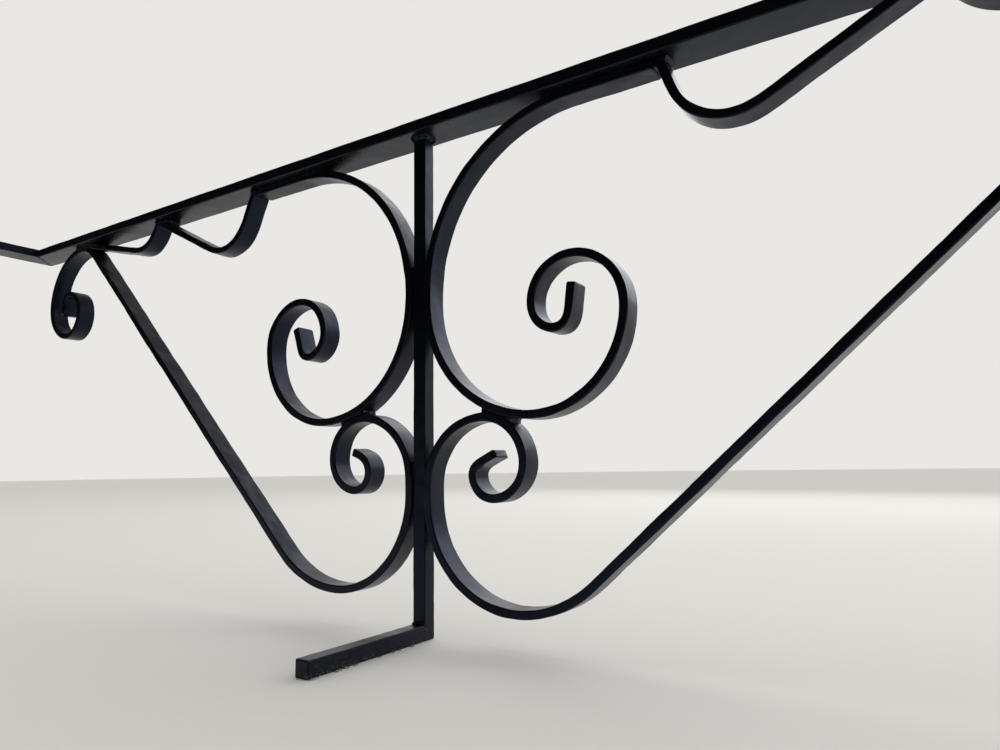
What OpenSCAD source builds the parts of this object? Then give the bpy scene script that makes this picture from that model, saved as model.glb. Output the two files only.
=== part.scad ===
// Juliet balcony: a wrought-iron window guard of scroll work under a flat rail.
// One middle post stands on the sill, and every scroll is forged from one flat bar.
// X runs along the rail, Y out to the street, Z up; the origin is under the post.
// The halves were bent by hand, so a size in two numbers holds for [left, right].

/* [Rail] */
// From the middle of the post to the outer face of each return
half_w = [650, 669]; // [630:1:800]
// Width of the flat bar of the rail
rail_w = 32; // [24:1:40]
// Thickness of the rail
rail_t = 10; // [6:0.5:14]
// Height of the underside of the rail above the sill
rail_h = 404; // [402:1:500]
// Reach of the returns, from the middle of the rail back to the wall
return_d = 150; // [80:5:300]

/* [Post and foot] */
// Side of the square bar of the post and its foot
post_a = 12; // [10:0.5:16]
// Reach of the foot over the sill, from the middle of the post
foot_l = 122; // [60:1:200]

/* [Scroll bar] */
// Width of the flat bar of the scrolls, which stands across the panel
flat_w = 16; // [10:0.5:24]
// Thickness of the flat bar of the scrolls
flat_t = 6.5; // [4:0.5:8]
// How much thinner and narrower the straights are, dressed flat under the hammer
dressing = 0.05; // [0.04:0.01:0.2]
// Root gap left at each weld
weld_gap = 0.2; // [0.1:0.05:0.4]

/* [Upper scroll] */
// Height at which the upper scroll leaves the post to bend round its coil
upper_contact_z = [268.5, 262.5]; // [250:0.5:268.5]
// Straight run under the rail
upper_run = [63.5, 65]; // [30:0.5:70]
// Bend radius from the rail down to the post
upper_shoulder_r = 130; // [110:1:132]
// Bend radius up the outer flank
upper_flank_r = 72; // [60:1:85]
// Bend radius over the outer crown
upper_crown_r = [44.5, 41]; // [36:0.5:48]
// Bend radius of the inner coil
upper_coil_r = [29.5, 33]; // [28:0.5:36]
// Bend radius under the eye
upper_eye_r = [25, 18.5]; // [16:0.5:26]
// Bend radius into the tip
upper_tip_r = [9.5, 15.5]; // [8:0.5:16]
// Turn of the bend into the tip, in degrees
upper_tip_turn = [82, 85]; // [60:1:88]
// Straight length of the tip
upper_tip_l = [19, 17]; // [8:0.5:26]

/* [Lower scroll] */
// Height at which the lower scroll touches the post
lower_contact_z = [110.5, 106]; // [100:0.5:115]
// Bend radius from the post down to the lowest point
lower_belly_r = [79, 78]; // [70:1:90]
// Bend radius from the lowest point up to the long straight
lower_sweep_r = [99.5, 90]; // [80:0.5:120]
// Straight length that lies on the post
lower_contact_l = [11, 9.5]; // [4:0.5:16]
// Bend radius from the post to the top
lower_shoulder_r = [51, 52.5]; // [46:0.5:56]
// Bend radius over the crown, where the upper scroll is welded on
lower_crown_r = [33.5, 34]; // [30:0.5:38]
// Bend radius of the inner coil
lower_coil_r = [28.5, 27.5]; // [24:0.5:30]
// Bend radius beside the eye
lower_eye_r = [10, 17]; // [10:0.5:20]
// Bend radius into the tip
lower_tip_r = [16.5, 12.5]; // [10:0.5:17]
// Turn of the bend into the tip, in degrees
lower_tip_turn = [64, 62]; // [40:1:88]
// Straight length of the tip
lower_tip_l = [15, 13]; // [4:0.5:16]

/* [End spiral] */
// From the outer face of the return in to the spiral
end_margin = 47; // [40:1:90]
// Bend radius of the arch under the rail and of the outer turn
arch_r = 61.5; // [50:0.5:64]
// Bend radius at the foot of the spiral
spiral_low_r = 40.5; // [38:0.5:48]
// Bend radius up the inner side and over the top of the coil
spiral_coil_r = 25; // [22:0.5:27]
// Bend radius down into the eye
spiral_eye_r = 13.5; // [12:0.5:18]
// Straight length of the tip
spiral_tip_l = 14; // [6:0.5:16]

/* [Waves] */
// Depth of the inner wave, from the rail to the middle of its bar
inner_wave_drop = 52; // [40:1:64]
// Bend radius of the inner wave
inner_wave_r = [38.5, 41]; // [28:0.5:44]
// Steepness of the hook of the inner wave, in degrees
inner_hook_turn = [64, 71]; // [58:1:80]
// From the top of the arch in to the lowest point of the outer wave
outer_wave_in = [135, 149]; // [120:1:160]
// Depth of the outer wave, from the rail to the middle of its bar
outer_wave_drop = 26; // [22:0.5:32]
// Bend radius of the outer wave
outer_wave_r = 32; // [26:1:36]
// Steepness of the hook of the outer wave, in degrees
outer_hook_turn = [57, 50]; // [46:1:60]

/* [Hidden] */
$fn = 180;
iron = "#25282d";
run_in = 0.3;
left = 0;
right = 1;

// Middle line of a bar that lies under the rail, and of one that lies on the post
under_z = rail_h - weld_gap - flat_t / 2;
side_x = -(post_a / 2 + weld_gap + flat_t / 2);

// A place on a bar is [x, z, heading]; a step is a straight [0, length]
// or a bend [radius, turn], with left turns positive
function centre(at, step) =
    let (side = sign(step[1]) * step[0])
    [at[0] - side * sin(at[2]), at[1] + side * cos(at[2])];
function after(at, step) =
    step[0] == 0
    ? [at[0] + step[1] * cos(at[2]), at[1] + step[1] * sin(at[2]), at[2]]
    : let (mid = centre(at, step), side = sign(step[1]) * step[0], heading = at[2] + step[1])
      [mid[0] + side * sin(heading), mid[1] - side * cos(heading), heading];
function place(start, steps, count) =
    count == 0 ? start : after(place(start, steps, count - 1), steps[count - 1]);

// Heading, from 90 to 270, that takes a right-hand bend about a centre straight to a point
function heading_to(mid, radius, point) =
    let (reach = point - mid)
    180 + atan2(-reach[1], -reach[0]) - asin(radius / norm(reach));
function straight_to(mid, radius, point) =
    sqrt(pow(norm(point - mid), 2) - pow(radius, 2));

// Each half h is drawn on the left, and the right one is then mirrored.
// Lower scroll: two branches leave the post contact, up and down
function lower_start(h, heading) = [side_x, lower_contact_z[h], heading];
function lower_up(h) = [
    [0, lower_contact_l[h]],
    [lower_shoulder_r[h], 90],
    [lower_crown_r[h], 90],
    [lower_coil_r[h], 90],
    [lower_eye_r[h], 90],
    [lower_tip_r[h], lower_tip_turn[h]],
    [0, lower_tip_l[h]]
];
function sweep_mid(h) = [
    side_x - lower_belly_r[h],
    lower_contact_z[h] - lower_belly_r[h] + lower_sweep_r[h]
];
function arch_mid(h) = [-(half_w[h] - end_margin - arch_r - flat_t / 2), under_z - arch_r];

// The long straight is the line that crosses between the sweep and the arch
function span(h) = arch_mid(h) - sweep_mid(h);
function rise(h) =
    180 - atan2(span(h)[1], span(h)[0]) + asin((lower_sweep_r[h] + arch_r) / norm(span(h)));
function diagonal_l(h) = sqrt(pow(norm(span(h)), 2) - pow(lower_sweep_r[h] + arch_r, 2));
function lower_down(h) = [
    [lower_belly_r[h], -90],
    [lower_sweep_r[h], -rise(h)],
    [0, diagonal_l(h)]
];

// From the top of the arch, one branch bends down to the straight and one to the spiral
function arch_steps(h) = [[arch_r, -rise(h)]];
spiral_steps = [
    [arch_r, 90],
    [spiral_low_r, 90],
    [spiral_coil_r, 90],
    [spiral_coil_r, 90],
    [spiral_eye_r, 90],
    [0, spiral_tip_l]
];

// Upper scroll: its belly is the bend that rests on the crown of the lower scroll
function upper_belly_r(h) =
    let (
        crown_mid = centre(place(lower_start(h, 90), lower_up(h), 2), lower_up(h)[2]),
        across = side_x - crown_mid[0],
        up = upper_contact_z[h] - crown_mid[1],
        off = lower_crown_r[h] + flat_t + weld_gap
    )
    round(100 * (pow(across, 2) + pow(up, 2) - pow(off, 2)) / (2 * (across + off))) / 100;
function upper_start(h) = [side_x - upper_shoulder_r - upper_run[h], under_z, 0];
function upper_steps(h) = [
    [0, upper_run[h]],
    [upper_shoulder_r, -90],
    [0, under_z - upper_shoulder_r - upper_contact_z[h]],
    [upper_belly_r(h), -90],
    [upper_flank_r, -90],
    [upper_crown_r[h], -90],
    [upper_coil_r[h], -90],
    [upper_eye_r[h], -90],
    [upper_tip_r[h], -upper_tip_turn[h]],
    [0, upper_tip_l[h]]
];

// Waves: a hook rises on the inner side, and a long tail runs up on the outer side
function hook_reach(drop, radius, turn) =
    radius * sin(turn) + (drop - radius * (1 - cos(turn))) / tan(turn);
function inner_low(h) = [
    upper_start(h)[0] - run_in - weld_gap - flat_t / 2 / sin(inner_hook_turn[h])
        - hook_reach(inner_wave_drop, inner_wave_r[h], inner_hook_turn[h]),
    rail_h - inner_wave_drop
];
function outer_low(h) = [arch_mid(h)[0] + outer_wave_in[h], rail_h - outer_wave_drop];
// The two waves meet at the rail
function waves_meet(h) = [
    outer_low(h)[0] + hook_reach(outer_wave_drop, outer_wave_r, outer_hook_turn[h]), rail_h
];
// The outer wave ends in the corner between the rail and the arch
function outer_end(h) = [arch_mid(h)[0] + sqrt(2 * arch_r * flat_t) + flat_t / 2, under_z];
function inner_mid(h) = inner_low(h) + [0, inner_wave_r[h]];
function outer_mid(h) = outer_low(h) + [0, outer_wave_r];
function inner_heading(h) = heading_to(inner_mid(h), inner_wave_r[h], waves_meet(h));
function outer_heading(h) = heading_to(outer_mid(h), outer_wave_r, outer_end(h));

// One step of a bar starts at the origin and heads along X
module past(step) {
    side = sign(step[1]) * step[0];
    if (step[0] == 0) translate([step[1], 0, 0]) children();
    else translate([0, side, 0]) rotate([0, 0, step[1]]) translate([0, -side, 0]) children();
}
// A straight runs on a little way into the thicker bends at its ends
module run(length) {
    thick = flat_t - dressing;
    wide = flat_w - dressing;
    translate([-run_in, -thick / 2, -wide / 2]) cube([length + 2 * run_in, thick, wide]);
}
module bend(radius, turn) {
    mirror([0, turn < 0 ? 1 : 0, 0]) translate([0, radius, 0]) rotate([0, 0, -90])
        rotate_extrude(angle = abs(turn))
            translate([radius - flat_t / 2, -flat_w / 2]) square([flat_t, flat_w]);
}

// Bar forged step by step, each step going on from the end of the one before
module forged(steps, i = 0) {
    if (steps[i][0] == 0) run(steps[i][1]);
    else bend(steps[i][0], steps[i][1]);
    if (i + 1 < len(steps)) past(steps[i]) forged(steps, i + 1);
}
// The same bar, standing in the plane of the panel
module bar(start, steps) {
    rotate([90, 0, 0]) translate([start[0], start[1], 0]) rotate([0, 0, start[2]])
        forged(steps);
}

// Block that cuts off what rises above the underside of the rail, less the weld gap
module above_rail(h) {
    translate([-half_w[h], -flat_w, rail_h - weld_gap])
        cube([half_w[h], 2 * flat_w, inner_wave_drop + flat_t]);
}

module rail_bar(outline) {
    color(iron) translate([0, 0, rail_h]) linear_extrude(rail_t) polygon(outline);
}
module top_rail() {
    rail_bar([
        [-half_w[left], rail_w / 2], [-half_w[left] + rail_w, -rail_w / 2],
        [half_w[right] - rail_w, -rail_w / 2], [half_w[right], rail_w / 2]
    ]);
}
module return_bar(h) {
    outer = -half_w[h];
    rail_bar([
        [outer, rail_w / 2], [outer, -return_d],
        [outer + rail_w, -return_d], [outer + rail_w, -rail_w / 2]
    ]);
}

// Post and foot are one square bar, mitred and welded at the bottom corner
module square_bar(outline) {
    color(iron) rotate([90, 0, 90])
        translate([0, 0, -post_a / 2]) linear_extrude(post_a) polygon(outline);
}
module post() {
    half = post_a / 2;
    square_bar([[-half, post_a], [half, 0], [half, rail_h], [-half, rail_h]]);
}
module foot() {
    half = post_a / 2;
    square_bar([[-foot_l, 0], [half, 0], [-half, post_a], [-foot_l, post_a]]);
}

module upper_scroll(h) {
    color(iron) bar(upper_start(h), upper_steps(h));
}
module lower_scroll(h) {
    color(iron) {
        bar(lower_start(h, 90), lower_up(h));
        bar(lower_start(h, -90), lower_down(h));
        bar([arch_mid(h)[0], under_z, 0], arch_steps(h));
        bar([arch_mid(h)[0], under_z, 180], spiral_steps);
    }
}

// A wave runs both ways from its lowest point
module wave(low, radius, hook_turn, tail_turn, tail_l, hook_l) {
    bar([low[0], low[1], 0], [[radius, hook_turn], [0, hook_l]]);
    bar([low[0], low[1], 180], [[radius, -tail_turn], [0, tail_l]]);
}
module inner_wave(h) {
    tail_turn = 180 - inner_heading(h);
    tail_l = straight_to(inner_mid(h), inner_wave_r[h], waves_meet(h)) + flat_t / tan(tail_turn);
    color(iron) difference() {
        wave(
            inner_low(h), inner_wave_r[h], inner_hook_turn[h],
            tail_turn, tail_l, inner_wave_drop
        );
        above_rail(h);
    }
}
module outer_wave(h) {
    tail_turn = 180 - outer_heading(h);
    tail_l = straight_to(outer_mid(h), outer_wave_r, outer_end(h));
    color(iron) difference() {
        wave(outer_low(h), outer_wave_r, outer_hook_turn[h], tail_turn, tail_l, outer_wave_drop);
        above_rail(h);
        // Its hook is cut to fit under the tail of the inner wave
        translate([waves_meet(h)[0], 0, rail_h]) rotate([90, 0, 0])
            rotate([0, 0, inner_heading(h)])
                translate([-4 * flat_t, -8 * flat_t, -flat_w])
                    cube([8 * flat_t, 8.5 * flat_t + weld_gap, 2 * flat_w]);
    }
}

module mirrored() {
    mirror([1, 0, 0]) children();
}

top_rail();
return_bar(left);  // return_left
mirrored() return_bar(right);  // return_right
post();
foot();
upper_scroll(left);  // upper_scroll_left
mirrored() upper_scroll(right);  // upper_scroll_right
lower_scroll(left);  // lower_scroll_left
mirrored() lower_scroll(right);  // lower_scroll_right
inner_wave(left);  // inner_wave_left
mirrored() inner_wave(right);  // inner_wave_right
outer_wave(left);  // outer_wave_left
mirrored() outer_wave(right);  // outer_wave_right
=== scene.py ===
import math

import bpy
import numpy as np
from bpy.props import FloatProperty, FloatVectorProperty, IntProperty, PointerProperty
from bpy.types import Operator, Panel, PropertyGroup
from mathutils import Matrix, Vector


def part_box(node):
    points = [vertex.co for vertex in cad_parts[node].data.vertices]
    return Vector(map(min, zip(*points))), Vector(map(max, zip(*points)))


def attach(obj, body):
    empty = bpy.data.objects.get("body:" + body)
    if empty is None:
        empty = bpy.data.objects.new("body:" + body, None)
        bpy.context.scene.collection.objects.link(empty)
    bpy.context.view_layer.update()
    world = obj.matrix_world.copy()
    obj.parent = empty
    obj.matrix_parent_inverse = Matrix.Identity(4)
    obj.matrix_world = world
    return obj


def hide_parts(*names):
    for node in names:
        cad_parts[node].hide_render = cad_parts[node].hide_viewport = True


bl_info = {
    "name": "Juliet balcony",
    "version": (1, 0, 0),
    "blender": (4, 5, 0),
    "location": "View3D > Sidebar > Guard",
    "description": "A scroll-work window guard of painted wrought iron, and its studio",
    "category": "Object",
}

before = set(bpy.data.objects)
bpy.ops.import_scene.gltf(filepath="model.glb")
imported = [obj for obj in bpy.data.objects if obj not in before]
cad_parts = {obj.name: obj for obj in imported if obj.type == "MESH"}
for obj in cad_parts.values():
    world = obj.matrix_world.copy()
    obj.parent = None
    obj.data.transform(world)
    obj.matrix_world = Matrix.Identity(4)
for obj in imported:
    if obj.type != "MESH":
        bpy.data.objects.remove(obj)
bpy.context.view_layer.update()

MM = 0.001
LEFT, RIGHT = 0, 1
SIDES = ("left", "right")
# Spacing of the lumps in weld metal
LUMP = 5 * MM


# Sizes

def span(node, axis):
    """Extent of a node along one axis, from its part in model.glb."""
    lo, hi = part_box(node)
    return hi[axis] - lo[axis]


def length(name, description, *values):
    """A length, or one for each half or axis, in millimetres."""
    shared = {"name": name, "description": description, "unit": "LENGTH", "precision": 4}
    if len(values) == 1:
        return FloatProperty(default=values[0] * MM, **shared)
    return FloatVectorProperty(default=[v * MM for v in values], size=len(values), **shared)


def angle(name, description, *values):
    """One angle for each half or axis, in degrees."""
    return FloatVectorProperty(name=name, description=description, unit="ROTATION",
                               default=[math.radians(v) for v in values], size=len(values))


def linear(code):
    """Linear colour of an sRGB hex code.

    A part c becomes c / 12.92 up to 0.04045, and ((c + 0.055) / 1.055) ^ 2.4 above.
    """
    part = [int(code[i:i + 2], 16) / 255 for i in (1, 3, 5)]
    return tuple(c / 12.92 if c <= 0.04045 else ((c + 0.055) / 1.055) ** 2.4 for c in part)


def colour(name, description, code):
    """A colour property from its sRGB hex code."""
    return FloatVectorProperty(name=name, description=description, size=3, subtype="COLOR",
                               default=linear(code), min=0.0, max=1.0)


class RailSizes(PropertyGroup):
    half_w: length("Half widths", "From the post to the outer face of each return",
                   -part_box("return_left")[0][0] / MM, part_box("return_right")[1][0] / MM)
    width: length("Width", "Width of the flat bar of the rail", span("top_rail", 1) / MM)
    thickness: length("Thickness", "Thickness of the rail", span("top_rail", 2) / MM)
    height: length("Height", "Underside of the rail above the sill",
                   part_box("top_rail")[0][2] / MM)
    reach: length("Reach", "From the middle of the rail back to the wall",
                  -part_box("return_left")[0][1] / MM)
    arris: length("Arris", "Radius of the softened edges of the rail", 1.1)


class PostSizes(PropertyGroup):
    side: length("Side", "Side of the square bar of the post and foot", span("post", 0) / MM)
    foot: length("Foot", "Reach of the foot over the sill", -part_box("foot")[0][1] / MM)
    arris: length("Arris", "Radius of the softened edges of the square bar", 0.9)


class BarSizes(PropertyGroup):
    near: length("Near edge", "From the middle of the post to the room side of the flat bar",
                 -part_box("upper_scroll_left")[0][1] / MM)
    width: length("Width", "Width of the flat bar, across the panel", 18.5)
    thickness: length("Thickness", "Thickness of the flat bar", 6.5)
    arris: length("Arris", "Radius of the softened edges of the flat bar", 0.9)
    tip_corner: length("Tip corner", "Radius of the corners filed onto each free end", 2.4)
    gap: length("Root gap", "Gap left at each weld", 0.2)
    ease: length("Ease", "Length over which one bend passes into the next", 4.0)
    dents: length("Dents", "Depth of the unevenness left by the hammer", 0.16)


class UpperScrollSizes(PropertyGroup):
    contact_z: length("Contact height", "Where the scroll leaves the post", 268.5, 262.5)
    run: length("Run", "Straight run under the rail", 63.5, 65)
    shoulder_r: length("Shoulder", "Bend from the rail down to the post", 130)
    flank_r: length("Flank", "Bend up the outer flank", 72, 73)
    crown_r: length("Crown", "Bend over the outer crown", 39, 39.5)
    coil_r: length("Coil", "Bend of the inner coil", 31.5, 32.5)
    eye_r: length("Eye", "Bend under the eye", 20.5, 19.5)
    tip_r: length("Tip bend", "Bend into the tip", 7, 9.5)
    tip_turn: angle("Tip turn", "Turn of the bend into the tip", 73, 82)
    tip_l: length("Tip", "Straight length of the tip", 24.5, 23.5)


class LowerScrollSizes(PropertyGroup):
    contact_z: length("Contact height", "Where the scroll touches the post", 110.5, 106)
    contact_l: length("Contact length", "Straight length that lies on the post", 11, 9.5)
    belly_r: length("Belly", "Bend from the post down to the lowest point", 79, 78)
    sweep_r: length("Sweep", "Bend from the lowest point up to the long straight", 99.5, 90)
    shoulder_r: length("Shoulder", "Bend from the post to the top", 51, 52.5)
    crown_r: length("Crown", "Bend under the weld to the upper scroll", 33.5, 34)
    coil_r: length("Coil", "Bend of the inner coil", 26, 26)
    eye_r: length("Eye", "Bend beside the eye", 15, 18.5)
    tip_r: length("Tip bend", "Bend into the tip", 14, 6)
    tip_turn: angle("Tip turn", "Turn of the bend into the tip", 71, 65)
    tip_l: length("Tip", "Straight length of the tip", 9, 19)


class SpiralSizes(PropertyGroup):
    margin: length("Margin", "From the outer face of the return in to the spiral", 55)
    arch_r: length("Arch", "Bend from the diagonal to the top of the arch", 32)
    outer_r: length("Outer turn", "Bend from the top of the arch down the outer side", 65.5)
    low_r: length("Low turn", "Bend at the foot of the spiral", 39)
    coil_r: length("Coil", "Bend up the inner side and over the top of the coil", 26)
    eye_r: length("Eye", "Bend down into the eye", 11)
    tip_l: length("Tip", "Straight length of the tip", 14)


class WaveSizes(PropertyGroup):
    inner_drop: length("Inner depth", "From the rail to the middle of the inner wave", 52)
    inner_r: length("Inner bend", "Bend of the inner wave", 38.5, 41)
    inner_turn: angle("Inner hook", "Steepness of the hook of the inner wave", 64, 71)
    apart: length("Apart", "Gap between the upper scroll and the hook of the inner wave", 0.5)
    outer_in: length("Outer place", "From the top of the arch to the outer wave", 123, 137)
    outer_drop: length("Outer depth", "From the rail to the middle of the outer wave", 26)
    outer_r: length("Outer bend", "Bend of the outer wave", 32)
    outer_turn: angle("Outer hook", "Steepness of the hook of the outer wave", 57, 50)


class WeldSizes(PropertyGroup):
    bead_r: length("Bead", "Half the width of a weld bead", 2.2)
    ripple: length("Ripple", "Spacing of the ripples along a bead", 2.1)
    lumps: length("Lumps", "Unevenness of the beads", 0.35)
    crumbs: IntProperty(name="Crumbs", description="Crumbs of mortar beside the foot",
                        default=30, min=0)


class FinishColours(PropertyGroup):
    paint: colour("Paint", "Satin blue-black enamel", "#08090d")
    # Paler colour of the arrises: partly paint wear, partly a painted highlight along every edge
    thin_and_highlit: colour("Thin paint", "Enamel worn thin along the arrises", "#17191e")
    # Painted reflection: a cool sky-blue tint put on every reflection of the enamel, not a colour
    # of the paint
    painted_reflection_tint: colour("Sheen", "Cool cast of the light that the enamel mirrors", "#aac8ff")
    dust: colour("Dust", "Street dust on faces that look up", "#6f6a62")
    mortar: colour("Mortar", "Lime mortar crumbs", "#a59c8c")
    floor: colour("Floor", "Studio floor", "#dcd9d3")
    backdrop: colour("Backdrop", "What the camera sees past the floor", "#e9e8e5")


class StudioSizes(PropertyGroup):
    floor_r: length("Floor", "Radius of the floor", 12000)
    eye: length("Camera", "Where the camera stands", 366.1, -452.5, 132.0)
    turn: angle("Turn", "Turn to the left, tilt and roll of the camera", 32.918, 7.104, -0.758)
    lens: FloatProperty(name="Lens", description="Focal length for a frame 36 mm wide",
                        default=26.107)
    lamp: length("Lamp", "Where the soft lamp hangs, over the street", 300, 2300, 1600)
    lit: length("Lit", "What the lamp points at", 0, 0, 200)
    lamp_w: length("Lamp width", "Width of the lamp", 3600)
    lamp_h: length("Lamp height", "Height of the lamp", 1600)
    power: FloatProperty(name="Power", description="Power of the lamp", default=27, unit="POWER")
    cool: colour("Lamp colour", "Colour of the lamp's light", "#f7fbff")


class GuardSettings(PropertyGroup):
    rail: PointerProperty(type=RailSizes)
    post: PointerProperty(type=PostSizes)
    bar: PointerProperty(type=BarSizes)
    upper: PointerProperty(type=UpperScrollSizes)
    lower: PointerProperty(type=LowerScrollSizes)
    spiral: PointerProperty(type=SpiralSizes)
    waves: PointerProperty(type=WaveSizes)
    welds: PointerProperty(type=WeldSizes)
    finish: PointerProperty(type=FinishColours)
    studio: PointerProperty(type=StudioSizes)


# Lines that the bars follow

def under_z(g):
    """Height of the middle line of a bar that lies under the rail."""
    return g.rail.height - g.bar.gap - g.bar.thickness / 2


def middle_y(g):
    """Middle of the flat bars across the panel; their room side lies where model.glb has it."""
    return g.bar.width / 2 - g.bar.near


def side_x(g):
    """Middle line of a bar that lies on the left face of the post."""
    return -(g.post.side / 2 + g.bar.gap + g.bar.thickness / 2)


def bend(radius, turn):
    """One step of a bar: a bend of this radius; left turns are positive, in degrees."""
    return radius * abs(math.radians(turn)), math.copysign(1 / radius, turn)


def straight(run):
    """One step of a bar: a straight."""
    return run, 0.0


class Line:
    """Middle line of a bar in the plane of the panel.

    The heading changes evenly along each step, by length times curvature, and is eased by a
    bell curve. The place is the running sum of (cos, sin) of the heading. The line is then
    moved so that the end of the named step lies at the anchor.
    """

    def __init__(self, steps, anchor_step, anchor, ease):
        lengths, curves = np.array(steps).T
        ends = np.cumsum(lengths)
        self.total = ends[-1]
        spacing = 0.25 * MM
        count = int(self.total / spacing) + 1
        self.s = np.linspace(0, self.total, count)
        ds = self.s[1]
        reach = int(3 * ease / ds)
        # Past its ends the bar keeps the curvature of its first and last step
        past = (reach + 1) * ds
        knots = np.concatenate([[-past, 0], ends, [self.total + past]])
        gains = np.concatenate([[past * curves[0]], lengths * curves, [past * curves[-1]]])
        turned = np.concatenate([[0], np.cumsum(gains)])
        turned += anchor[2] - turned[anchor_step + 1]
        heading = np.interp(np.arange(-reach, count + reach) * ds, knots, turned)
        bell = np.exp(-0.5 * (np.arange(-reach, reach + 1) * ds / ease) ** 2)
        self.heading = np.convolve(heading, bell / bell.sum(), mode="valid")
        x = self.running(np.cos(self.heading), ds)
        z = self.running(np.sin(self.heading), ds)
        at = ends[anchor_step - 1] if anchor_step else 0.0
        self.x = x + anchor[0] - np.interp(at, self.s, x)
        self.z = z + anchor[1] - np.interp(at, self.s, z)

    @staticmethod
    def running(values, ds):
        """Running sum by trapezia."""
        return np.concatenate([[0.0], np.cumsum((values[1:] + values[:-1]) / 2) * ds])

    def at(self, s):
        """Place and heading at lengths s; past its ends the line runs on straight."""
        heading = np.interp(s, self.s, self.heading)
        over = s - np.clip(s, 0, self.total)
        return (np.interp(s, self.s, self.x) + over * np.cos(heading),
                np.interp(s, self.s, self.z) + over * np.sin(heading), heading)


def arch_top(g, h):
    """Top of the arch, on its middle line."""
    return (-(g.rail.half_w[h] - g.spiral.margin - g.spiral.outer_r - g.bar.thickness / 2),
            under_z(g))


def lower_line(g, h):
    """The long bar of the lower scroll, from the tip in its coil to the tip of the spiral.

    The long straight is the line that crosses between the sweep and the arch: its slope is
    the slope between their centres plus asin(sum of radii / distance of centres).
    """
    low, spiral = g.lower, g.spiral
    sweep = np.array([side_x(g) - low.belly_r[h],
                      low.contact_z[h] - low.belly_r[h] + low.sweep_r[h]])
    arch = np.array(arch_top(g, h)) - [0, spiral.arch_r]
    across, up = arch - sweep
    far = math.hypot(across, up)
    radii = low.sweep_r[h] + spiral.arch_r
    rise = 180 - math.degrees(math.atan2(up, across)) + math.degrees(math.asin(radii / far))
    steps = [
        straight(low.tip_l[h]),
        bend(low.tip_r[h], -math.degrees(low.tip_turn[h])),
        bend(low.eye_r[h], -90),
        bend(low.coil_r[h], -90),
        bend(low.crown_r[h], -90),
        bend(low.shoulder_r[h], -90),
        straight(low.contact_l[h]),
        bend(low.belly_r[h], -90),
        bend(low.sweep_r[h], -rise),
        straight(math.sqrt(far ** 2 - radii ** 2)),
        bend(spiral.arch_r, rise),
        bend(spiral.outer_r, 90),
        bend(spiral.low_r, 90),
        bend(spiral.coil_r, 180),
        bend(spiral.eye_r, 90),
        straight(spiral.tip_l),
    ]
    return Line(steps, 7, (side_x(g), low.contact_z[h], -math.pi / 2), g.bar.ease)


def crown_mid(g, h):
    """Centre of the crown of the lower scroll."""
    low = g.lower
    return np.array([side_x(g) - low.shoulder_r[h],
                     low.contact_z[h] + low.contact_l[h] + low.shoulder_r[h] - low.crown_r[h]])


def belly_r(g, h):
    """Radius of the belly of the upper scroll, which rests on the crown of the lower one."""
    low = g.lower
    across, up = low.shoulder_r[h], g.upper.contact_z[h] - crown_mid(g, h)[1]
    off = low.crown_r[h] + g.bar.thickness + g.bar.gap
    return (across ** 2 + up ** 2 - off ** 2) / (2 * (across + off))


def upper_line(g, h):
    """The bar of the upper scroll, from its run under the rail to the tip in its coil."""
    up = g.upper
    steps = [
        straight(up.run[h]),
        bend(up.shoulder_r, -90),
        straight(under_z(g) - up.shoulder_r - up.contact_z[h]),
        bend(belly_r(g, h), -90),
        bend(up.flank_r[h], -90),
        bend(up.crown_r[h], -90),
        bend(up.coil_r[h], -90),
        bend(up.eye_r[h], -90),
        bend(up.tip_r[h], -math.degrees(up.tip_turn[h])),
        straight(up.tip_l[h]),
    ]
    return Line(steps, 3, (side_x(g), up.contact_z[h], -math.pi / 2), g.bar.ease)


def rising(drop, radius, turn):
    """Straight from the end of a bend up to the rail: (drop - r (1 - cos t)) / sin t."""
    return (drop - radius * (1 - math.cos(turn))) / math.sin(turn)


def hook_reach(drop, radius, turn):
    """How far a hook goes sideways from its lowest point to the rail."""
    return radius * math.sin(turn) + rising(drop, radius, turn) * math.cos(turn)


def heading_to(mid, radius, point):
    """Heading that takes a right-hand bend about a centre straight to a point."""
    across, up = point[0] - mid[0], point[1] - mid[1]
    return math.pi + math.atan2(-up, -across) - math.asin(radius / math.hypot(across, up))


def wave_plan(g, h):
    """Lowest points of both waves, the place where they meet, and the headings of their tails."""
    w, bar, rail_z = g.waves, g.bar, g.rail.height
    start = side_x(g) - g.upper.shoulder_r - g.upper.run[h]
    inner = np.array([
        start - w.apart - bar.thickness / 2 / math.sin(w.inner_turn[h])
        - hook_reach(w.inner_drop, w.inner_r[h], w.inner_turn[h]),
        rail_z - w.inner_drop])
    top = arch_top(g, h)
    outer = np.array([top[0] + w.outer_in[h], rail_z - w.outer_drop])
    meet = np.array([outer[0] + hook_reach(w.outer_drop, w.outer_r, w.outer_turn[h]), rail_z])
    end = np.array([top[0] + math.sqrt(2 * g.spiral.arch_r * bar.thickness)
                    + bar.thickness / 2, under_z(g)])
    return {
        "inner": inner, "outer": outer, "meet": meet,
        "inner_heading": heading_to(inner + [0, w.inner_r[h]], w.inner_r[h], meet),
        "outer_heading": heading_to(outer + [0, w.outer_r], w.outer_r, end),
    }


def wave_line(low, drop, radius, hook_turn, tail_heading, ease):
    """A wave from the top of its hook through its lowest point to the end of its tail."""
    tail_turn = math.pi - tail_heading
    steps = [
        straight(rising(drop, radius, hook_turn)),
        bend(radius, -math.degrees(hook_turn)),
        bend(radius, -math.degrees(tail_turn)),
        straight(rising(drop, radius, tail_turn)),
    ]
    return Line(steps, 2, (low[0], low[1], math.pi), ease)


# Surfaces

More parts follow.
